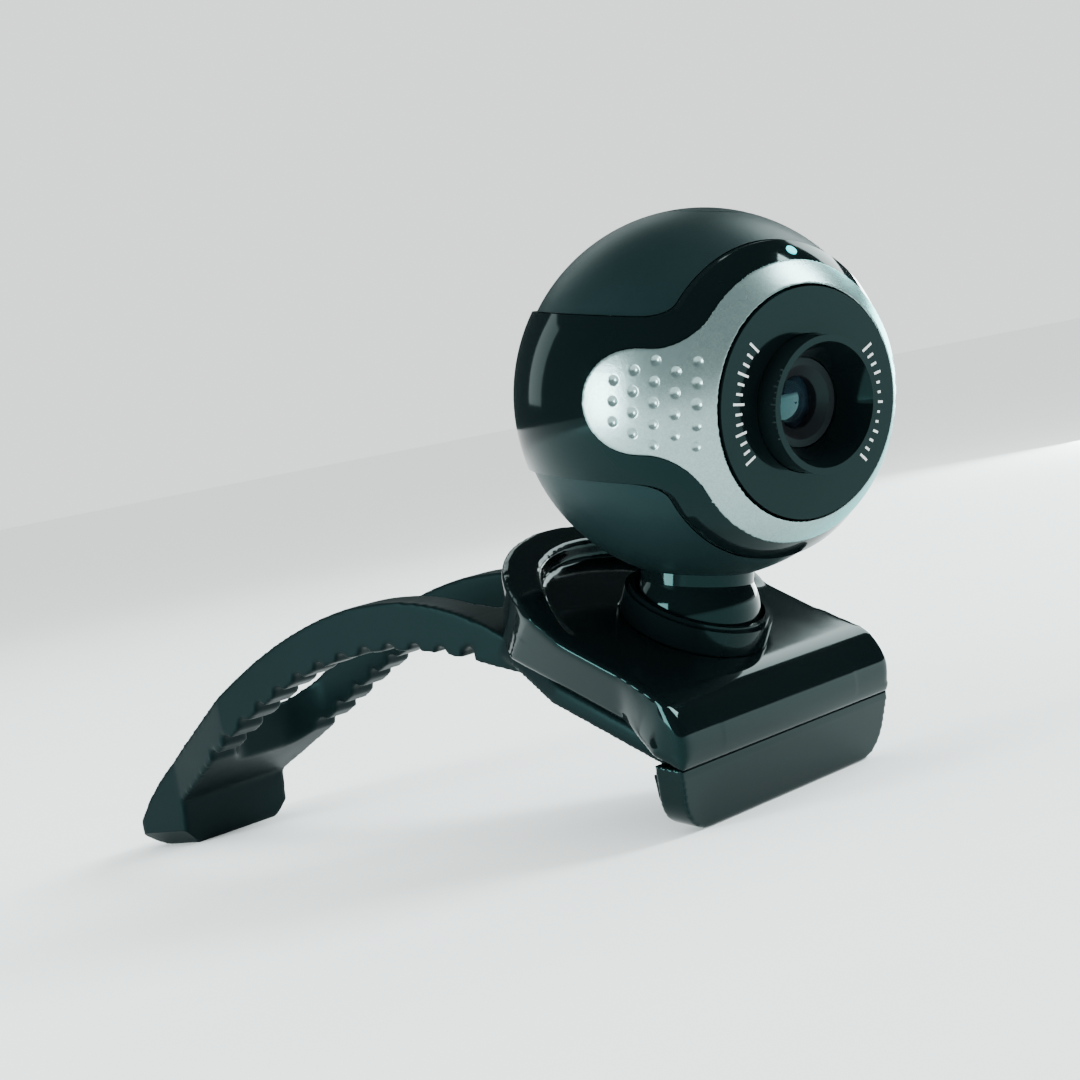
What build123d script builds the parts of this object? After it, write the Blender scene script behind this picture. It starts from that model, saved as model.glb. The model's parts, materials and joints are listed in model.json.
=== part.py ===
"""Ball webcam on a clip stand with a flexible forked rear leg.

Frame: millimetres, +Z up, the front of the stand faces -Y and the leg runs towards +Y.
The pieces are drawn round a point on the table under the ball joint that carries the head,
and are moved as they are saved, so the origin is on the table under the middle of the whole.
"""
from build123d import *
from math import cos, pi, radians, sin, sqrt
import os

# ---------------------------------------------------------------- driving dimensions
footprint_centre_x = 1.358   # middle of the whole, from the ball joint's centre
footprint_centre_y = 39.809
joint_height = 27.0        # ball joint centre above the table
stand_pitch = 30.0         # the top of the stand leans forward by this much
head_pan = -15.6           # rest pan of the head, about the stand's own axis
head_tilt = 18.7           # rest tilt of the head, back from the stand's own axis
neck_length = 30.8         # ball joint centre to the centre of the camera ball

shell_radius = 26.0        # matt shells of the camera ball
belt_radius = 26.6         # gloss belt, proud of the shells
inner_radius = 24.2        # inside of every shell
belt_half_height = 11.0
belt_flare_radius = 21.6   # the belt widens to this round the lens
flare_fillet = 5.0
seam_gap = 0.1
plate_outer = 26.9         # silver face plate, a skin on the belt
plate_inner = 26.0
plate_ring_forward = 18.8  # the ring of the face plate starts here, in front of the ball's centre
paddle_half_height = 7.0
paddle_centre = 12.9       # centre of the paddle's round end, in front of the ball's centre
paddle_fillet = 4.5
disc_bore = 15.9
disc_radius = 15.6
disc_front = 21.9
disc_thickness = 1.6

ring_radius = 9.3          # focus ring
ring_front = 25.4
ring_back = 17.6
ring_mouth = 8.4
barrel_radius = 6.0        # threaded lens barrel
barrel_front = 20.4
barrel_back = 8.4
running_gap = 0.1

button_radius = 5.75
button_gap = 0.25
button_travel = 0.55

foot_ball_radius = 9.2     # ball at the bottom of the neck
neck_radius = 8.05
socket_wall_radius = 10.2
collar_radius = 10.8
collar_step = 1.8
collar_top = 2.4
collar_mouth = 9.5
pin_radius = 1.0

floor_height = -1.9        # top of the stand, below the ball joint centre along its axis
rim_height = 0.9           # raised rim round the back
side_half_width = 26.9
base_half_width = 21.5
front_half_width = 26.4
rim_radius = 28.5
base_rim_radius = 26.0
dish_radius = 22.5
stand_front = 19.7
housing_bottom = -9.7
wall = 2.0

apron_half_width = 26.4
apron_thickness = 4.4
apron_lean = 14.0          # the apron leans back under the stand
pad_thickness = 1.2

leg_outer = 16.2           # half width over both rails
leg_inner = 10.2           # half width of the slot between them
leg_slot_start = 28.0
leg_slot_end = 92.0
slot_corner = 6.0
foot_half_width = 12.0
foot_length = 113.0
hinge_y = 31.0             # where the leg flexes, just behind the stand
hinge_z = 30.3
hinge_radius = 3.0
body_gap = 0.3
notch_count = 13
notch_pitch = 5.1
first_notch = 11.6         # from the stand, along the underside

# ---------------------------------------------------------------- planes of the three frames
pitch = radians(stand_pitch)
joint_centre = Vector(0, 0, joint_height)
stand_axis = Vector(0, -sin(pitch), cos(pitch))
STAND = Plane(origin=joint_centre, x_dir=(1, 0, 0), z_dir=stand_axis)
SWIVEL = Plane(STAND.location * Rotation(0, 0, head_pan))
NECK = Plane(SWIVEL.location * Rotation(-head_tilt, 0, 0))
HEAD = NECK.offset(neck_length)
ball_centre = HEAD.origin
lens_axis = HEAD.y_dir * -1
FRONT = Plane(origin=ball_centre, x_dir=HEAD.x_dir, z_dir=lens_axis)
LIGHT = Plane(origin=ball_centre, x_dir=HEAD.x_dir, z_dir=lens_axis * 0.65 + HEAD.z_dir * 0.76)
SIDE = Plane(origin=ball_centre, x_dir=lens_axis, z_dir=HEAD.x_dir * -1)
REAR = Plane(origin=ball_centre, x_dir=HEAD.x_dir * -1, z_dir=HEAD.y_dir)

big = 40.0                 # half size of a block that trims a whole piece

os.makedirs("parts", exist_ok=True)


def save(name, part):
    """Move a finished piece to the shared origin, label it and write it as its own file."""
    placed = part.moved(Location((-footprint_centre_x, -footprint_centre_y, 0)))
    placed.label = name
    export_step(placed, f"parts/{name}.step")


def ball(plane, radius):
    """A solid ball round a plane's origin."""
    with BuildPart(plane) as piece:
        Sphere(radius)
    return piece.part


def cross_pin(plane, half_length, radius):
    """A straight pin along a plane's own x direction."""
    with BuildPart(plane) as piece:
        Cylinder(radius, 2 * half_length, rotation=(0, 90, 0))
    return piece.part


def shell_between(outer, inner):
    """A hollow ball round the head's centre."""
    with BuildPart(HEAD) as hollow:
        Sphere(outer)
        Sphere(inner, mode=Mode.SUBTRACT)
    return hollow.part


def drum(plane, start, end, outer, inner=0.0):
    """A round piece on a plane's axis from one height to another, hollow if it has an inner radius."""
    with BuildPart() as piece:
        with BuildSketch(plane.offset(start)):
            Circle(outer)
            if inner:
                Circle(inner, mode=Mode.SUBTRACT)
        extrude(amount=end - start)
    return piece.part


def columns(plane, places, start, end, radius):
    """Round columns at several places on a plane, from one height to another."""
    with BuildPart() as group:
        with BuildSketch(plane.offset(start)):
            with Locations(*places):
                Circle(radius)
        extrude(amount=end - start)
    return group.part


def belt_zone(grow):
    """The region of the gloss belt: a band all round, flared in front into a disc round the lens."""
    half = belt_half_height + grow
    with BuildPart(HEAD) as zone:
        Box(2 * big, 2 * big, 2 * half)
        with BuildSketch(FRONT) as flare:
            Rectangle(2 * belt_radius + 2, 2 * half)
            Circle(belt_flare_radius + grow)
            corners = flare.vertices().group_by(SortBy.DISTANCE)[0]
            fillet(corners, flare_fillet)
        extrude(amount=big)
    return zone.part


def face_zone(grow):
    """The region of the silver face plate: a ring in front and a round-ended paddle to each side."""
    ring_edge = plate_ring_forward - grow
    half = paddle_half_height + grow
    with BuildPart() as zone:
        with BuildSketch(SIDE):
            with BuildLine():
                Line((ring_edge + big, -big), (ring_edge, -big))
                Line((ring_edge, -big), (ring_edge, -half - paddle_fillet))
                RadiusArc((ring_edge, -half - paddle_fillet), (ring_edge - paddle_fillet, -half), -paddle_fillet)
                Line((ring_edge - paddle_fillet, -half), (paddle_centre, -half))
                ThreePointArc((paddle_centre, -half), (paddle_centre - half, 0), (paddle_centre, half))
                Line((paddle_centre, half), (ring_edge - paddle_fillet, half))
                RadiusArc((ring_edge - paddle_fillet, half), (ring_edge, half + paddle_fillet), -paddle_fillet)
                Line((ring_edge, half + paddle_fillet), (ring_edge, big))
                Line((ring_edge, big), (ring_edge + big, big))
                Line((ring_edge + big, big), (ring_edge + big, -big))
            make_face()
        extrude(amount=big, both=True)
    return zone.part




upper_half = drum(HEAD, 0, big, big)
lower_half = drum(HEAD, -big, 0, big)

# ---------------------------------------------------------------- camera ball: matt shells
boss_places = [(-13.0, 9.0), (13.0, 9.0)]
upper_boss = 2.6
lower_boss = 3.4
screw_radius = 1.0
screw_seat = -13.0
screw_head = 2.2
boss_split = 0.2
screw_tip = 7.0

with BuildPart() as upper_bosses:
    add(columns(HEAD, boss_places, boss_split, big, upper_boss))
    add(ball(HEAD, inner_radius + 0.3), mode=Mode.INTERSECT)

with BuildPart() as lower_bosses:
    add(columns(HEAD, boss_places, -big, 0, lower_boss))
    add(ball(HEAD, inner_radius + 0.3), mode=Mode.INTERSECT)

with BuildPart() as upper_shell:
    add(shell_between(shell_radius, inner_radius))
    add(belt_zone(seam_gap), mode=Mode.SUBTRACT)
    add(upper_half, mode=Mode.INTERSECT)
    add(drum(HEAD, 0, big, button_radius + button_gap), mode=Mode.SUBTRACT)
    add(upper_bosses.part)
    add(columns(HEAD, boss_places, boss_split, screw_tip, screw_radius), mode=Mode.SUBTRACT)
save("upper_shell", upper_shell.part)

with BuildPart() as lower_shell:
    add(shell_between(shell_radius, inner_radius))
    add(belt_zone(seam_gap), mode=Mode.SUBTRACT)
    add(lower_half, mode=Mode.INTERSECT)
    add(drum(HEAD, -big, 0, neck_radius), mode=Mode.SUBTRACT)
    add(lower_bosses.part)
    add(columns(HEAD, boss_places, -big, screw_seat, screw_head + 0.2), mode=Mode.SUBTRACT)
    add(columns(HEAD, boss_places, screw_seat, 0, screw_radius + 0.1), mode=Mode.SUBTRACT)
save("lower_shell", lower_shell.part)

with BuildPart() as shell_screws:
    add(columns(HEAD, boss_places, screw_seat - 1.6, screw_seat, screw_head))
    add(columns(HEAD, boss_places, screw_seat, screw_tip, screw_radius))
save("shell_screws", shell_screws.part)

# ---------------------------------------------------------------- camera ball: gloss belt in two halves
gland_radius = 3.3
light_radius = 0.8

with BuildPart() as face_pocket:
    add(shell_between(belt_radius + wall, plate_inner))
    add(face_zone(seam_gap), mode=Mode.INTERSECT)

with BuildPart() as belt:
    add(shell_between(belt_radius, inner_radius))
    add(belt_zone(0), mode=Mode.INTERSECT)
    add(face_pocket.part, mode=Mode.SUBTRACT)
    add(drum(FRONT, 0, big, disc_bore), mode=Mode.SUBTRACT)
    add(drum(REAR, 0, big, gland_radius), mode=Mode.SUBTRACT)
    add(drum(LIGHT, 0, big, light_radius), mode=Mode.SUBTRACT)

for name, half in [("belt_upper", upper_half), ("belt_lower", lower_half)]:
    with BuildPart() as belt_half:
        add(belt.part)
        add(half, mode=Mode.INTERSECT)
    save(name, belt_half.part)

# ---------------------------------------------------------------- silver face plate
with BuildPart() as face_plate:
    add(shell_between(plate_outer, plate_inner))
    add(face_zone(0), mode=Mode.INTERSECT)
    add(drum(FRONT, 0, big, disc_bore), mode=Mode.SUBTRACT)
save("face_plate", face_plate.part)

# ---------------------------------------------------------------- lens disc and the frame behind it
frame_back = 18.4
frame_front = disc_front - disc_thickness - 0.1
board_front = 2.5
board_back = 1.0
post_places = [(-12.6, 0), (12.6, 0)]
post_radius = 2.0
board_screw = 0.9

save("lens_disc", drum(FRONT, disc_front - disc_thickness, disc_front, disc_radius, ring_radius + running_gap))

with BuildPart() as lens_frame:
    add(drum(FRONT, frame_back, frame_front, disc_radius, ring_radius + body_gap))
    add(columns(FRONT, post_places, board_front, frame_back, post_radius))
    add(columns(FRONT, post_places, board_front, board_front + 6, board_screw), mode=Mode.SUBTRACT)
save("lens_frame", lens_frame.part)

# ---------------------------------------------------------------- circuit boards, sensor and switch
board_radius = 20.0
board_half_height = 16.4
deck_height = 16.5
deck_thickness = 1.2

with BuildPart() as main_board:
    with BuildSketch(FRONT.offset(board_back)):
        Circle(board_radius)
        Rectangle(2 * board_radius, 2 * board_half_height, mode=Mode.INTERSECT)
        with Locations(*post_places):
            Circle(board_screw + running_gap, mode=Mode.SUBTRACT)
    extrude(amount=board_front - board_back)
save("main_board", main_board.part)

with BuildPart() as board_screws:
    add(columns(FRONT, post_places, board_back - 1.4, board_back, 1.9))
    add(columns(FRONT, post_places, board_back, board_front + 6, board_screw))
save("board_screws", board_screws.part)

with BuildPart() as image_sensor:
    with BuildSketch(FRONT.offset(board_front)):
        Rectangle(8, 8)
    extrude(amount=1.0)
save("image_sensor", image_sensor.part)

with BuildPart() as button_board:
    with BuildSketch(HEAD.offset(deck_height)):
        Rectangle(14, 10)
    extrude(amount=deck_thickness)
save("button_board", button_board.part)

switch_base = deck_height + deck_thickness
switch_top = 20.0
with BuildPart() as snapshot_switch:
    with BuildSketch(HEAD.offset(switch_base)):
        Rectangle(6, 6)
    extrude(amount=1.8)
    with BuildSketch(HEAD.offset(switch_base + 1.8)):
        Circle(1.2)
    extrude(until=None, amount=switch_top - switch_base - 1.8)
save("snapshot_switch", snapshot_switch.part)

# ---------------------------------------------------------------- snapshot button, flush in the top of the ball
with BuildPart() as snapshot_button:
    add(ball(HEAD, shell_radius))
    add(drum(HEAD, 22.8, big, button_radius), mode=Mode.INTERSECT)
    add(drum(HEAD, 22.0, 22.8, button_radius + 1.05))
    add(drum(HEAD, switch_top + button_travel + 0.05, 22.0, 1.5))
save("snapshot_button", snapshot_button.part)

# ---------------------------------------------------------------- status light above the lens
save("light_pipe", drum(LIGHT, 22.9, belt_radius + 0.15, light_radius - 0.02))
save("status_led", drum(LIGHT, 18.5, 22.8, 1.5))

# ---------------------------------------------------------------- lens holder, barrel, glass and focus ring
holder_radius = 7.6
barrel_bore = 3.6

with BuildPart() as lens_holder:
    with BuildSketch(FRONT.offset(board_front)):
        Rectangle(14.5, 14.5)
        Rectangle(9, 9, mode=Mode.SUBTRACT)
    extrude(amount=2.0)
    add(drum(FRONT, board_front + 2.0, 5.6, holder_radius, 3.5))
    add(drum(FRONT, 5.6, 14.0, holder_radius, barrel_radius + running_gap))
save("lens_holder", lens_holder.part)

with BuildPart() as ir_filter:
    with BuildSketch(FRONT.offset(5.6)):
        Rectangle(7.6, 7.6)
    extrude(amount=0.5)
save("ir_filter", ir_filter.part)

with BuildPart() as lens_barrel:
    add(drum(FRONT, barrel_back, barrel_front, barrel_radius, barrel_bore))
    with BuildSketch(FRONT.offset(barrel_front - 1.0)):
        Circle(barrel_bore)
    with BuildSketch(FRONT.offset(barrel_front)):
        Circle(barrel_bore + 1.4)
    loft(mode=Mode.SUBTRACT)
save("lens_barrel", lens_barrel.part)

for name, low, high, curve in [("front_lens", 16.6, 19.2, 7.0), ("rear_lens", 8.8, 10.8, 9.0)]:
    with BuildPart() as glass:
        add(drum(FRONT, low, high, barrel_bore))
        add(ball(FRONT.offset(high - curve), curve), mode=Mode.INTERSECT)
    save(name, glass.part)

with BuildPart() as focus_ring:
    add(drum(FRONT, ring_back, ring_front, ring_radius, barrel_radius + running_gap))
    with BuildSketch(FRONT.offset(barrel_front + 0.4)):
        Circle(barrel_radius + running_gap)
    with BuildSketch(FRONT.offset(ring_front)):
        Circle(ring_mouth)
    loft(mode=Mode.SUBTRACT)
save("focus_ring", focus_ring.part)

# ---------------------------------------------------------------- cable outlet at the back, without its cable
with BuildPart() as cable_outlet:
    add(drum(REAR, 22.6, 27.9, gland_radius - 0.05))
    add(drum(REAR, belt_radius + 0.1, 27.9, gland_radius + 1.1))
    add(drum(REAR, 20, 30, 1.9), mode=Mode.SUBTRACT)
save("cable_outlet", cable_outlet.part)

# ---------------------------------------------------------------- neck with its foot ball, pin and swivel collar
neck_top = neck_length - 20.6
cup_floor = -8.1
hub_bottom = -9.0
pin_half_length = 9.9

with BuildPart() as neck_post:
    add(ball(NECK, foot_ball_radius))
    add(drum(NECK, -6.0, big, foot_ball_radius + 1), mode=Mode.INTERSECT)
    add(drum(NECK, 0, neck_top, neck_radius))
    add(drum(NECK, neck_top - 1.4, neck_top, neck_radius + 2))
    add(cross_pin(NECK, big, pin_radius + 0.05), mode=Mode.SUBTRACT)
save("neck_post", neck_post.part)

save("tilt_pin", cross_pin(SWIVEL, pin_half_length, pin_radius))

with BuildPart() as cup:
    add(ball(SWIVEL, foot_ball_radius + running_gap))
    add(drum(SWIVEL, cup_floor, big, foot_ball_radius + 1), mode=Mode.INTERSECT)

with BuildPart() as swivel_collar:
    add(drum(SWIVEL, floor_height + running_gap, collar_step, collar_radius))
    add(drum(SWIVEL, collar_step, collar_top, socket_wall_radius))
    add(drum(SWIVEL, hub_bottom, floor_height + running_gap, socket_wall_radius))
    add(cup.part, mode=Mode.SUBTRACT)
    add(drum(SWIVEL, 0, collar_top, collar_mouth), mode=Mode.SUBTRACT)
    add(cross_pin(SWIVEL, pin_half_length, pin_radius), mode=Mode.SUBTRACT)
save("swivel_collar", swivel_collar.part)

plate_underside = floor_height - wall
save("friction_washer", drum(STAND, plate_underside - 0.6, plate_underside, 13.0, socket_wall_radius + 0.3))
save("swivel_clip", drum(SWIVEL, plate_underside - 1.5, plate_underside - 0.7, 12.6, socket_wall_radius))

# ---------------------------------------------------------------- top housing of the stand
PROFILE = Plane(origin=joint_centre, x_dir=STAND.y_dir, z_dir=STAND.x_dir)
front_round = 7.5
flare_back = -6.0
screw_places = [(-15.5, -8.0), (15.5, -8.0), (-12.0, 15.5), (12.0, 15.5)]
boss_outer = 2.6


def stand_outline(height, front, front_width, side_width, rear_radius):
    """The stand seen along its axis: wide at the front, waisted sides and a round back."""
    side_end = sqrt(rear_radius**2 - side_width**2)
    with BuildSketch(STAND.offset(height)) as outline:
        with BuildLine():
            Line((-front_width, -front), (front_width, -front))
            Line((front_width, -front), (front_width, -front + 5))
            Line((front_width, -front + 5), (side_width, flare_back))
            Line((side_width, flare_back), (side_width, side_end))
            ThreePointArc((side_width, side_end), (0, rear_radius), (-side_width, side_end))
            Line((-side_width, side_end), (-side_width, flare_back))
            Line((-side_width, flare_back), (-front_width, -front + 5))
            Line((-front_width, -front + 5), (-front_width, -front))
        make_face()
    return outline.sketch


with BuildPart() as stand_hull:
    add(stand_outline(rim_height, stand_front, front_half_width + 0.2, side_half_width, rim_radius))
    add(stand_outline(housing_bottom, stand_front, front_half_width, base_half_width, base_rim_radius))
    loft()

with BuildPart() as stand_cavity:
    add(stand_outline(plate_underside, stand_front - 5, front_half_width - wall, side_half_width - 3.4, rim_radius - 3.4))
    add(stand_outline(housing_bottom, stand_front - wall, front_half_width - wall, base_half_width - wall,
                      base_rim_radius - wall))
    loft()

with BuildPart() as side_profile:
    with BuildSketch(PROFILE):
        with BuildLine():
            Line((-stand_front, housing_bottom), (-stand_front, floor_height - front_round))
            RadiusArc((-stand_front, floor_height - front_round), (front_round - stand_front, floor_height), front_round)
            Line((front_round - stand_front, floor_height), (4, floor_height))
            Line((4, floor_height), (13, rim_height))
            Line((13, rim_height), (big, rim_height))
            Line((big, rim_height), (big, housing_bottom))
            Line((big, housing_bottom), (-stand_front, housing_bottom))
        make_face()
    extrude(amount=big, both=True)

with BuildPart() as top_housing:
    add(stand_hull.part)
    add(side_profile.part, mode=Mode.INTERSECT)
    add(drum(STAND, floor_height, big, dish_radius), mode=Mode.SUBTRACT)
    add(stand_cavity.part, mode=Mode.SUBTRACT)
    add(columns(STAND, screw_places, housing_bottom, plate_underside, boss_outer))
    add(columns(STAND, screw_places, housing_bottom, housing_bottom + 5, screw_radius), mode=Mode.SUBTRACT)
    add(drum(STAND, -big, big, socket_wall_radius + running_gap), mode=Mode.SUBTRACT)
save("top_housing", top_housing.part)

# ---------------------------------------------------------------- front apron, its rubber pad, and the clips that hold it
lean = radians(apron_lean)
seam = PROFILE.from_local_coords((-stand_front, housing_bottom, 0))
APRON = Plane(origin=seam, x_dir=(1, 0, 0), z_dir=(0, -cos(lean), -sin(lean)))
apron_length = seam.Z / cos(lean)
apron_corner = 6.0
clip_place = 14.0
clip_depth = 2.8
clip_thickness = 1.4


def apron_outline(plane, inset):
    """The apron seen from in front: straight across the top, with two round lower corners."""
    top = apron_half_width - inset
    bottom = apron_half_width - 2.2 - inset
    with BuildSketch(plane) as outline:
        with BuildLine():
            Polyline((-top, -inset - 0.05), (top, -inset - 0.05), (bottom, inset - apron_length),
                     (-bottom, inset - apron_length), (-top, -inset - 0.05))
        make_face()
        fillet(outline.vertices().group_by(Axis.Y)[0], apron_corner - inset)
    return outline.sketch


with BuildPart() as front_apron:
    add(apron_outline(APRON, 0))
    extrude(amount=apron_thickness, dir=APRON.z_dir * -1)
    with BuildSketch(APRON.offset(-clip_depth)):
        with Locations((-clip_place, 0.2), (clip_place, 0.2)):
            Rectangle(7, 6)
    extrude(amount=-clip_thickness)
save("front_apron", front_apron.part)

with BuildPart() as lip_pad:
    add(apron_outline(APRON.offset(-apron_thickness), 1.5))
    extrude(amount=pad_thickness, dir=APRON.z_dir * -1)
save("lip_pad", lip_pad.part)

# ---------------------------------------------------------------- flexible leg: tray under the housing, rails and foot
tray_top = housing_bottom - 0.05
tray_bottom = tray_top - 3.0
tray_front = -14.6
leg_start = (24.0, 29.6)
leg_under = (19.0, 22.4)
toe_height = 7.6
foot_nose = 4.7

with BuildLine() as underside:
    Spline((101.5, toe_height), (89.5, 14.2), (76, 21.3), (66, 25.5), (57, 27.7), (46, 28.5), (35.4, 27.2),
           (26.6, 24.8), leg_under)

underside_edge = underside.edges()[0]

with BuildPart() as leg_profile:
    with BuildSketch(Plane.YZ):
        with BuildLine():
            Spline(leg_start, (27.7, 31.6), (45, 35.9), (57.6, 34.8), (76.5, 28.4), (94.6, 18.7), (106.6, 11.2),
                   (foot_length, foot_nose))
            ThreePointArc((foot_length, foot_nose), (foot_length - 0.5, 1.5), (109, 0))
            Line((109, 0), (102.5, 0))
            Line((102.5, 0), (101.5, toe_height))
            add(underside.line)
            Line(leg_under, leg_start)
        make_face()
    extrude(amount=leg_outer, both=True)

with BuildPart() as leg_plan:
    with BuildSketch(Plane.XY):
        with BuildLine():
            Polyline((-leg_outer, 0), (leg_outer, 0), (leg_outer, 84), (foot_half_width, 102), (foot_half_width, foot_length),
                     (-foot_half_width, foot_length), (-foot_half_width, 102), (-leg_outer, 84), (-leg_outer, 0))
        make_face()
        with Locations((0, (leg_slot_start + leg_slot_end) / 2)):
            RectangleRounded(2 * leg_inner, leg_slot_end - leg_slot_start, slot_corner, mode=Mode.SUBTRACT)
    extrude(amount=big)

with BuildPart() as leg:
    add(leg_profile.part)
    add(leg_plan.part, mode=Mode.INTERSECT)
    for index in range(notch_count):
        along = underside.edge().length - first_notch - index * notch_pitch
        mark = underside.edge().position_at(along, position_mode=PositionMode.LENGTH)
        with Locations((0, mark.X, mark.Y)):
            Cylinder(1.1, 2 * big, rotation=(0, 90, 0), mode=Mode.SUBTRACT)

hinge = Plane(origin=(0, hinge_y, hinge_z), x_dir=(0, 1, 0), z_dir=(1, 0, 0))

with BuildPart() as behind_hinge:
    add(drum(hinge, -big, big, hinge_radius))
    with BuildSketch(hinge.offset(-big)):
        with Locations((big * 1.5, 0)):
            Rectangle(big * 3, big * 3)
    extrude(amount=2 * big)

with BuildPart() as ahead_cut:
    with BuildSketch(hinge.offset(-big)):
        with Locations((big * 1.5 - 2.2, 0)):
            Rectangle(big * 3, big * 3)
    extrude(amount=2 * big)
    add(drum(hinge, -big, big, hinge_radius + body_gap))

with BuildPart() as leg_stub:
    add(leg.part)
    add(ahead_cut.part, mode=Mode.SUBTRACT)

with BuildPart() as leg_fork:
    add(leg.part)
    add(behind_hinge.part, mode=Mode.INTERSECT)
save("leg_fork", leg_fork.part)

with BuildPart() as leg_tray:
    with BuildSketch(STAND.offset(tray_top)):
        Polygon((-base_half_width, tray_front), (base_half_width, tray_front), (base_half_width, 6), (leg_outer, 20),
                (leg_outer, 25), (-leg_outer, 25), (-leg_outer, 20), (-base_half_width, 6), align=None)
    extrude(amount=tray_bottom - tray_top)
    add(leg_stub.part)
    add(columns(STAND, screw_places, -big, 0, screw_radius + running_gap), mode=Mode.SUBTRACT)
    add(columns(STAND, screw_places, -big, tray_bottom + 1.4, screw_head + running_gap), mode=Mode.SUBTRACT)
save("leg_tray", leg_tray.part)

with BuildPart() as stand_screws:
    add(columns(STAND, screw_places, tray_bottom + 0.1, tray_bottom + 1.4, screw_head))
    add(columns(STAND, screw_places, tray_bottom + 1.4, housing_bottom + 5, screw_radius))
save("stand_screws", stand_screws.part)
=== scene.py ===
import bpy
import json
from math import cos, radians, sin
from mathutils import Matrix, Vector


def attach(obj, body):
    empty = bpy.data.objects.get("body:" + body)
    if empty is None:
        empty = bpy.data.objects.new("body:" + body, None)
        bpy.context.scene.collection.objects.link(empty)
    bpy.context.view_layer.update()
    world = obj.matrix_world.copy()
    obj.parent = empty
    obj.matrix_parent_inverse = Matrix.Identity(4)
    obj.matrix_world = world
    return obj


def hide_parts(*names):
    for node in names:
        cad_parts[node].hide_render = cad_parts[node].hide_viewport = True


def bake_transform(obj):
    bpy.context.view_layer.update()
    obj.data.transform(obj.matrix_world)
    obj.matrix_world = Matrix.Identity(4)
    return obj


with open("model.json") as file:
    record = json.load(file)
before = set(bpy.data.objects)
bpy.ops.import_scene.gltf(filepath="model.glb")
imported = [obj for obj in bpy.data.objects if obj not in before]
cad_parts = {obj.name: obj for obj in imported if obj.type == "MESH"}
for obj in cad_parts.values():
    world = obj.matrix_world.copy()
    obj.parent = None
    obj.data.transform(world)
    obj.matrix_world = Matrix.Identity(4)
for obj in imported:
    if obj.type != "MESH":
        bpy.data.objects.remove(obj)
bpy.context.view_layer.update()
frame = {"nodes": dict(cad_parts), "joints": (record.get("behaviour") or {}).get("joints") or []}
nodes = frame["nodes"]
joints = {joint["name"]: joint for joint in frame["joints"]}
mm = 0.001

# ---------------------------------------------------------------- matt shells and the button
# The two halves of the ball are moulded in black ABS from a tool with a fine matt texture, and
# screws draw them together on the gloss belt. The snapshot button in the crown, the frame
# behind the lens disc and the lens holder have the same texture.
sea_tint = (0.42, 1.0, 1.0, 1)
drift_scale = 60.0          # colour and sheen wander over about 17 mm
low_drift, high_drift = 0.3, 0.7
grain_strength = 0.35


def plastic(name, shade, pale, roughness, spread, grain, depth, shine=0.13):
    """A moulded surface: slow colour drift, uneven sheen, and a fine grain of that depth."""
    material = bpy.data.materials.new(name)
    material.use_nodes = True
    tree = material.node_tree
    surface = tree.nodes["Principled BSDF"]
    surface.inputs["Specular IOR Level"].default_value = shine
    surface.inputs["Specular Tint"].default_value = sea_tint
    place = tree.nodes.new("ShaderNodeTexCoord")
    drift = tree.nodes.new("ShaderNodeTexNoise")
    drift.inputs["Scale"].default_value = drift_scale
    drift.inputs["Detail"].default_value = 4.0
    tint = tree.nodes.new("ShaderNodeMix")
    tint.data_type = "RGBA"
    tint.inputs[6].default_value = (*shade, 1)
    tint.inputs[7].default_value = (*pale, 1)
    sheen = tree.nodes.new("ShaderNodeMapRange")
    sheen.inputs["From Min"].default_value = low_drift
    sheen.inputs["From Max"].default_value = high_drift
    sheen.inputs["To Min"].default_value = roughness - spread
    sheen.inputs["To Max"].default_value = roughness + spread
    texture = tree.nodes.new("ShaderNodeTexNoise")
    texture.inputs["Scale"].default_value = grain
    texture.inputs["Detail"].default_value = 3.0
    bump = tree.nodes.new("ShaderNodeBump")
    bump.inputs["Strength"].default_value = grain_strength
    bump.inputs["Distance"].default_value = depth
    tree.links.new(place.outputs["Object"], drift.inputs["Vector"])
    tree.links.new(place.outputs["Object"], texture.inputs["Vector"])
    tree.links.new(drift.outputs["Fac"], tint.inputs[0])
    tree.links.new(drift.outputs["Fac"], sheen.inputs["Value"])
    tree.links.new(texture.outputs["Fac"], bump.inputs["Height"])
    tree.links.new(tint.outputs[2], surface.inputs["Base Color"])
    tree.links.new(sheen.outputs["Result"], surface.inputs["Roughness"])
    tree.links.new(bump.outputs["Normal"], surface.inputs["Normal"])
    return material


def dress(material, *names):
    """Give CAD nodes their finish."""
    for name in names:
        nodes[name].data.materials.clear()
        nodes[name].data.materials.append(material)


matt_abs = plastic("matt_abs", (0.004, 0.0095, 0.0105), (0.007, 0.014, 0.015),
                   roughness=0.42, spread=0.04, grain=3200.0, depth=0.04 * mm)
dress(matt_abs, "upper_shell", "lower_shell", "snapshot_button", "lens_frame", "lens_holder")

# ---------------------------------------------------------------- gloss belt, disc and neck
# The belt round the ball, the disc in front, the focus ring, the neck, its collar and the
# two mouldings of the stand are injection moulded in black ABS from polished tools.
gloss_abs = plastic("gloss_abs", (0.0016, 0.0034, 0.0038), (0.0024, 0.0046, 0.005),
                    roughness=0.075, spread=0.02, grain=260.0, depth=0.006 * mm)
dress(gloss_abs, "belt_upper", "belt_lower", "lens_disc", "focus_ring", "neck_post",
      "swivel_collar", "top_housing", "front_apron")

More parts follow.
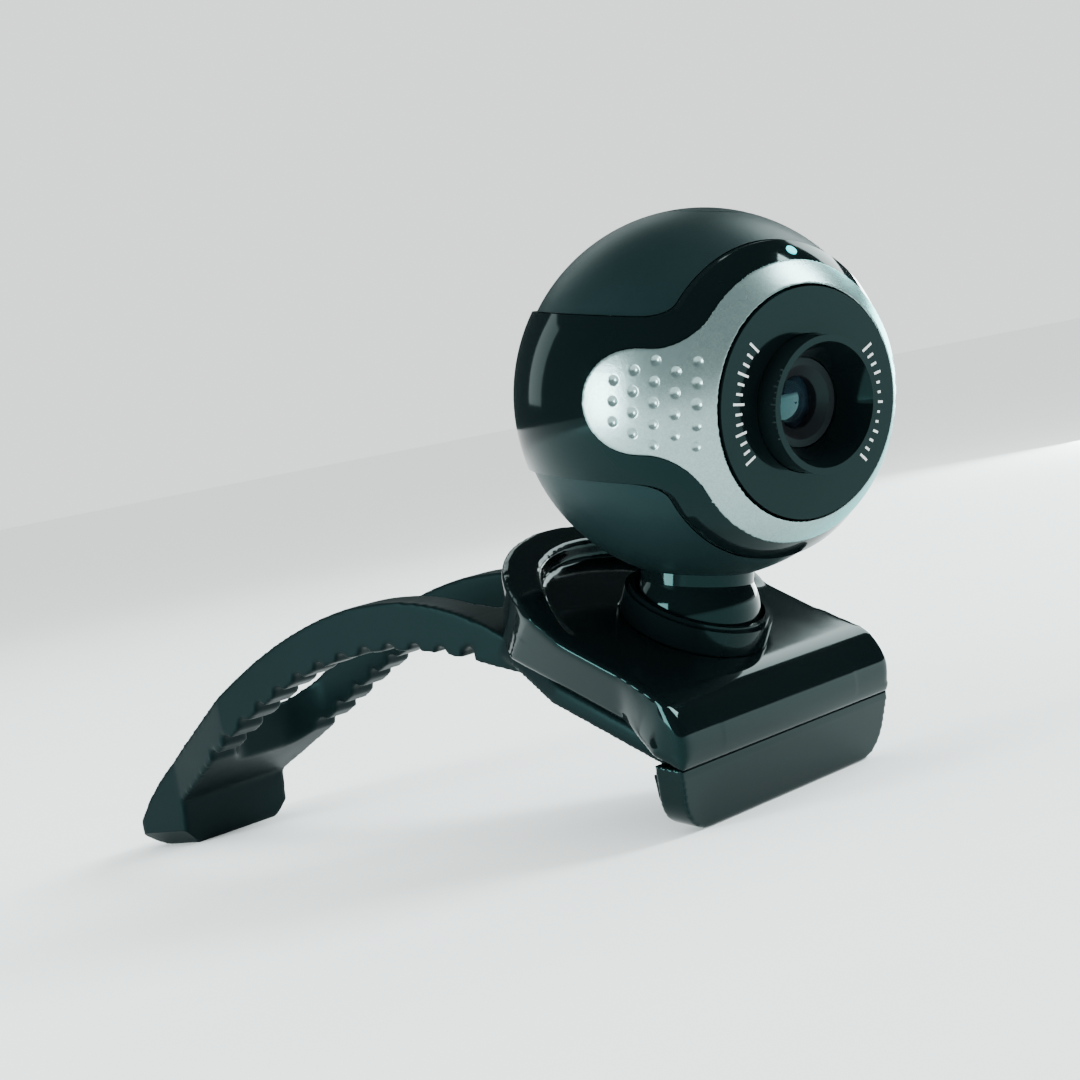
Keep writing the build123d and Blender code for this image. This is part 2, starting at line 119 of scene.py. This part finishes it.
# ---------------------------------------------------------------- small parts inside and underneath
# The boards are glass epoxy under green solder mask, the chip and the switch black epoxy, the
# screws, pin, washer and spring clip bright steel, and the barrel black anodised aluminium.
solder_mask = plastic("solder_mask", (0.006, 0.07, 0.025), (0.01, 0.1, 0.04),
                      roughness=0.35, spread=0.05, grain=900.0, depth=0.03 * mm)
chip_epoxy = plastic("chip_epoxy", (0.01, 0.01, 0.011), (0.018, 0.018, 0.02),
                     roughness=0.5, spread=0.05, grain=2500.0, depth=0.03 * mm)
rolled_steel = plastic("rolled_steel", (0.5, 0.5, 0.49), (0.62, 0.62, 0.6),
                       roughness=0.28, spread=0.06, grain=1800.0, depth=0.01 * mm, shine=0.5)
rolled_steel.node_tree.nodes["Principled BSDF"].inputs["Metallic"].default_value = 1.0
anodised = plastic("anodised", (0.006, 0.006, 0.007), (0.012, 0.012, 0.014),
                   roughness=0.4, spread=0.05, grain=1500.0, depth=0.01 * mm)
dress(solder_mask, "main_board", "button_board")
dress(chip_epoxy, "image_sensor", "snapshot_switch")
dress(rolled_steel, "board_screws", "shell_screws", "stand_screws", "tilt_pin", "swivel_clip",
      "friction_washer")
dress(anodised, "lens_barrel")

# ---------------------------------------------------------------- lens glass
# The front and rear elements are ground and polished glass with a blue coating, held in the
# barrel. The infrared filter behind them is a flat plate of the same tint.
lens_glass = plastic("lens_glass", (0.03, 0.05, 0.08), (0.05, 0.08, 0.12),
                     roughness=0.03, spread=0.01, grain=400.0, depth=0.002 * mm, shine=0.15)
glass_surface = lens_glass.node_tree.nodes["Principled BSDF"]
glass_surface.inputs["Transmission Weight"].default_value = 0.9
glass_surface.inputs["IOR"].default_value = 1.6
dress(lens_glass, "front_lens", "rear_lens", "ir_filter")

# ---------------------------------------------------------------- power light
# A clear acrylic rod carries the blue-green light of a small diode to a window over the
# silver ring.
light_acrylic = plastic("light_acrylic", (0.02, 0.5, 0.55), (0.05, 0.7, 0.75),
                        roughness=0.2, spread=0.05, grain=700.0, depth=0.01 * mm)
glow = light_acrylic.node_tree.nodes["Principled BSDF"]
glow.inputs["Emission Color"].default_value = (0.05, 0.75, 0.8, 1)
glow.inputs["Emission Strength"].default_value = 1.6
dress(light_acrylic, "light_pipe", "status_led")

# ---------------------------------------------------------------- silver face plate
# The plate is a thin ABS skin that clips on the belt: a ring round the disc with a round-ended
# paddle on each side. Each paddle has 21 shallow round dimples, moulded in before the plate was
# sprayed with silver metallic paint.
ball_centre = Vector(joints["focus_turn"]["pos_m"])
lens_axis = Vector(joints["focus_turn"]["axis"]).normalized()
head_up = -Vector(joints["snapshot_press"]["axis"]).normalized()
head_side = lens_axis.cross(head_up).normalized()
weld_distance = 0.002 * mm


def fresh_copy(name, *sources):
    """One new object from copies of CAD nodes, with the loose triangles merged."""
    bpy.ops.object.select_all(action="DESELECT")
    for source in sources:
        piece = nodes[source].copy()
        piece.data = nodes[source].data.copy()
        bpy.context.collection.objects.link(piece)
        world = nodes[source].matrix_world.copy()
        piece.parent = None
        piece.matrix_world = world
        piece.select_set(True)
        bpy.context.view_layer.objects.active = piece
    if len(sources) > 1:
        bpy.ops.object.join()
    piece = bpy.context.view_layer.objects.active
    piece.name = name
    bpy.ops.object.transform_apply(location=True, rotation=True, scale=True)
    bpy.ops.object.mode_set(mode="EDIT")
    bpy.ops.mesh.select_all(action="SELECT")
    bpy.ops.mesh.remove_doubles(threshold=weld_distance)
    bpy.ops.object.mode_set(mode="OBJECT")
    for mark in [mark for mark in piece.keys() if mark.startswith("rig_")]:
        del piece[mark]
    return piece


def apply_modifiers(piece):
    """Apply every modifier of a piece, in order."""
    bpy.ops.object.select_all(action="DESELECT")
    piece.select_set(True)
    bpy.context.view_layer.objects.active = piece
    for modifier in list(piece.modifiers):
        bpy.ops.object.modifier_apply(modifier=modifier.name)


def one_soft_skin(piece, voxel, iterations):
    """Turn a piece into one even skin, and round its edges as the tool or the paint does."""
    even = piece.modifiers.new("even", "REMESH")
    even.mode = "VOXEL"
    even.voxel_size = voxel
    soft = piece.modifiers.new("soft", "SMOOTH")
    soft.factor = 0.5
    soft.iterations = iterations
    apply_modifiers(piece)


plate_radius = 26.9 * mm
skin_middle = 26.45 * mm        # halfway through the plate's wall
dimple_radius = 0.7 * mm
dimple_depth = 0.3 * mm
dimple_columns = [3, 4, 5, 4, 5]      # dimples in each column, from the round end forward
first_column = radians(23.4)          # ahead of the ball's side
column_step = radians(6.1)
row_step = 2.75 * mm

silver_plate = fresh_copy("silver_plate", "face_plate")
one_soft_skin(silver_plate, voxel=0.15 * mm, iterations=14)
dimples = []
for side in (-1, 1):
    for column, count in enumerate(dimple_columns):
        ahead = first_column + column * column_step
        for row in range(count):
            height = (row - (count - 1) / 2) * row_step
            level = (plate_radius**2 - height**2) ** 0.5
            outward = head_side * side * cos(ahead) + lens_axis * sin(ahead)
            dimples.append(outward * level + head_up * height)
for vertex in silver_plate.data.vertices:
    arm = vertex.co - ball_centre
    if arm.length < skin_middle:
        continue
    for spot in dimples:
        away = (arm - spot).length
        if away < dimple_radius:
            arm -= arm.normalized() * dimple_depth * (1 - (away / dimple_radius) ** 2)
            break
    vertex.co = ball_centre + arm
bpy.ops.object.shade_smooth()

flake_scale = 5200.0
flake_dark, flake_bright = 0.86, 1.12
silver_paint = plastic("silver_paint", (0.2, 0.28, 0.28), (0.26, 0.34, 0.34),
                       roughness=0.28, spread=0.03, grain=flake_scale, depth=0.02 * mm, shine=0.5)
paint_tree = silver_paint.node_tree
paint_surface = paint_tree.nodes["Principled BSDF"]
paint_surface.inputs["Metallic"].default_value = 0.75
flake = paint_tree.nodes.new("ShaderNodeTexVoronoi")
flake.inputs["Scale"].default_value = flake_scale
flake_tone = paint_tree.nodes.new("ShaderNodeMapRange")
flake_tone.inputs["To Min"].default_value = flake_dark
flake_tone.inputs["To Max"].default_value = flake_bright
flake_mix = paint_tree.nodes.new("ShaderNodeVectorMath")
flake_mix.operation = "SCALE"
paint_base = paint_surface.inputs["Base Color"].links[0].from_socket
paint_place = paint_tree.nodes["Texture Coordinate"]
paint_tree.links.new(paint_place.outputs["Object"], flake.inputs["Vector"])
paint_tree.links.new(flake.outputs["Color"], flake_tone.inputs["Value"])
paint_tree.links.new(paint_base, flake_mix.inputs[0])
paint_tree.links.new(flake_tone.outputs["Result"], flake_mix.inputs["Scale"])
paint_tree.links.new(flake_mix.outputs["Vector"], paint_surface.inputs["Base Color"])
silver_plate.data.materials.clear()
silver_plate.data.materials.append(silver_paint)
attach(silver_plate, "head")
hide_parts("face_plate")

# ---------------------------------------------------------------- printed focus marks
# White ticks are pad-printed on the disc in two arcs, either side of the focus ring. Every
# third one is long.
marks_radius = 12.6 * mm
mark_lift = 0.06 * mm
disc_front = 21.9 * mm
tick_width = 0.32 * mm
tick_long = 1.9 * mm
tick_short = 1.1 * mm
tick_step = radians(6.0)
ticks_each_way = 6
long_every = 3
ticks = []
for side in (-1, 1):
    for index in range(-ticks_each_way, ticks_each_way + 1):
        length = tick_long if index % long_every == 0 else tick_short
        turn = index * tick_step
        out = head_side * side * cos(turn) + head_up * sin(turn)
        across = lens_axis.cross(out).normalized()
        bpy.ops.mesh.primitive_cube_add(size=1)
        tick = bpy.context.object
        tick.data.transform(Matrix.Diagonal((length, tick_width, 2 * mark_lift, 1)))
        axes = Matrix((out, across, lens_axis)).transposed().to_4x4()
        spot = ball_centre + lens_axis * disc_front + out * marks_radius
        tick.data.transform(Matrix.Translation(spot) @ axes)
        ticks.append(tick)
bpy.ops.object.select_all(action="DESELECT")
for tick in ticks:
    tick.select_set(True)
bpy.context.view_layer.objects.active = ticks[0]
bpy.ops.object.join()
focus_marks = bpy.context.object
focus_marks.name = "focus_marks"
print_ink = plastic("print_ink", (0.62, 0.66, 0.65), (0.75, 0.78, 0.77),
                    roughness=0.45, spread=0.05, grain=3000.0, depth=0.01 * mm)
focus_marks.data.materials.append(print_ink)
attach(focus_marks, "head")

# ---------------------------------------------------------------- housing and apron of the stand
# The housing is one polished moulding with a raised rim round the back and soft edges all
# round. The apron is a second moulding that clips under its front edge, with a fine seam.
rounder_iterations = 45


def softened(name, source, voxel, iterations, material, body, rounder=None):
    """A smooth moulding with rounded edges from a CAD piece, in its place."""
    piece = fresh_copy(name, source)
    one_soft_skin(piece, voxel, iterations)
    if rounder:
        crest = piece.vertex_groups.new(name="crest")
        crest.add([v.index for v in piece.data.vertices if rounder(v.co)], 1.0, "REPLACE")
        more = piece.modifiers.new("rounder", "SMOOTH")
        more.factor = 0.5
        more.iterations = rounder_iterations
        more.vertex_group = "crest"
        apply_modifiers(piece)
    bpy.ops.object.shade_smooth()
    piece.data.materials.clear()
    piece.data.materials.append(material)
    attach(piece, body)
    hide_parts(source)
    return piece


joint_centre = Vector(joints["head_swivel"]["pos_m"])
stand_axis = Vector(joints["head_swivel"]["axis"]).normalized()
hole_edge = 13 * mm             # clear of the collar's hole
rim_start = -4 * mm             # behind this the top rises to the rim
rim_bottom = -5 * mm
side_start = 17 * mm
flare_bottom = -8.2 * mm        # clear of the open bottom edge
flare_top = -2.4 * mm


def rounded_zone(point):
    """The raised rim round the back, and the flared sides in front."""
    arm = point - joint_centre
    height = arm.dot(stand_axis)
    out = (arm - stand_axis * height).length
    rim = out > hole_edge and arm.y > rim_start and height > rim_bottom
    flare = abs(arm.x) > side_start and arm.y < 0 and flare_bottom < height < flare_top
    return rim or flare


softened("stand_housing", "top_housing", voxel=0.31 * mm, iterations=22,
         material=gloss_abs, body="stand", rounder=rounded_zone)
apron = softened("stand_apron", "front_apron", voxel=0.25 * mm, iterations=5,
                 material=gloss_abs, body="stand")
seam_height = 8.0 * mm
seam_close = 0.35 * mm
for vertex in apron.data.vertices:
    if vertex.co.z > seam_height:
        vertex.co.z += seam_close

# ---------------------------------------------------------------- flexible leg
# The leg is one moulding of satin thermoplastic rubber: a tray under the housing, two rails
# with a row of grooves underneath, so that they bend, and a foot with chamfered lower corners.
# The pad behind the lip and the cable outlet are of the same rubber.
leg = fresh_copy("flexible_leg", "leg_tray", "leg_fork")
one_soft_skin(leg, voxel=0.45 * mm, iterations=4)
hinge_x, hinge_y, hinge_z = joints["leg_flex"]["pos_m"]
foot_start = hinge_y + 65 * mm
sole_half_width = 9.0 * mm
corner_slope = 0.9
for vertex in leg.data.vertices:
    beyond = abs(vertex.co.x - hinge_x) - sole_half_width
    if vertex.co.y > foot_start and beyond > 0:
        vertex.co.z = max(vertex.co.z, beyond * corner_slope)
bpy.ops.object.shade_smooth()
satin_rubber = plastic("satin_rubber", (0.002, 0.005, 0.0056), (0.0034, 0.007, 0.0078),
                       roughness=0.42, spread=0.06, grain=2600.0, depth=0.03 * mm, shine=0.05)
leg.data.materials.clear()
leg.data.materials.append(satin_rubber)
dress(satin_rubber, "lip_pad", "cable_outlet", "leg_tray", "leg_fork")
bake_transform(leg)
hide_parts("leg_tray", "leg_fork")

# ---------------------------------------------------------------- studio
# A wide pale floor lies under a bright sky, and six soft boxes stand round the object: one on
# the left, two behind, two on the right and one in front. The gloss pieces reflect a dim room,
# so that they stay dark.
floor_size = 60.0
bpy.ops.mesh.primitive_plane_add(size=floor_size, location=(0, 0, 0))
floor = bpy.context.object
floor.name = "floor"
paper = plastic("paper", (0.92, 0.93, 0.93), (0.95, 0.96, 0.96),
                roughness=0.8, spread=0.05, grain=400.0, depth=0.05 * mm)
floor.data.materials.append(paper)

cool = (0.86, 1.0, 0.99)
middle = (0, -0.02, 0.04)


def soft_box(name, place, width, height, power):
    """A rectangular area light that points at the middle of the object."""
    light = bpy.data.lights.new(name, "AREA")
    light.shape = "RECTANGLE"
    light.size = width
    light.size_y = height
    light.energy = power
    light.color = cool
    lamp = bpy.data.objects.new(name, light)
    bpy.context.collection.objects.link(lamp)
    lamp.location = place
    towards = Vector(middle) - Vector(place)
    lamp.rotation_euler = towards.to_track_quat("-Z", "Y").to_euler()


soft_box("left_box", (-0.72, 0.3, 0.16), 0.3, 0.4, 14.0)
soft_box("edge_box", (-0.06, 0.62, 0.3), 0.2, 0.35, 0.5)
soft_box("rear_box", (0.48, 0.55, 0.55), 0.5, 0.3, 1.0)
soft_box("right_box", (0.62, -0.02, 0.44), 0.22, 0.4, 2.2)
soft_box("low_right_box", (0.8, 0.1, 0.05), 0.4, 0.25, 6.0)
soft_box("front_box", (0.5, -0.5, 0.6), 0.3, 0.3, 11.0)

dim_room = (0.05, 0.07, 0.07, 1)
bright_sky = (1.5, 1.55, 1.55, 1)
world = bpy.data.worlds.new("studio")
bpy.context.scene.world = world
world.use_nodes = True
sky = world.node_tree
backdrop = sky.nodes["Background"]
backdrop.inputs["Strength"].default_value = 1.0
ray = sky.nodes.new("ShaderNodeLightPath")
open_sky = sky.nodes.new("ShaderNodeMath")
open_sky.operation = "MAXIMUM"
room = sky.nodes.new("ShaderNodeMix")
room.data_type = "RGBA"
room.inputs[6].default_value = dim_room
room.inputs[7].default_value = bright_sky
sky.links.new(ray.outputs["Is Camera Ray"], open_sky.inputs[0])
sky.links.new(ray.outputs["Is Diffuse Ray"], open_sky.inputs[1])
sky.links.new(open_sky.outputs["Value"], room.inputs[0])
sky.links.new(room.outputs[2], backdrop.inputs["Color"])

# ---------------------------------------------------------------- camera
# A long lens a little above the table looks at the left front of the stand. The camera is
# rolled, so the object leans to the left.
azimuth = radians(-50.14)
elevation = radians(3.14)
roll = radians(-11.14)
back = Vector((sin(azimuth) * cos(elevation), -cos(azimuth) * cos(elevation), sin(elevation)))
camera_place = joint_centre + Vector((-0.2852, -0.2104, 0.0309))
lens = bpy.data.cameras.new("camera")
lens.sensor_width = 36.0
lens.lens = 83.33
lens.shift_x = 0.0062
lens.shift_y = 0.0192
lens.clip_start = 0.01
camera = bpy.data.objects.new("camera", lens)
bpy.context.collection.objects.link(camera)
level_view = back.to_track_quat("Z", "Y").to_matrix().to_4x4()
camera.matrix_world = Matrix.Translation(camera_place) @ level_view @ Matrix.Rotation(roll, 4, "Z")
bpy.context.scene.camera = camera
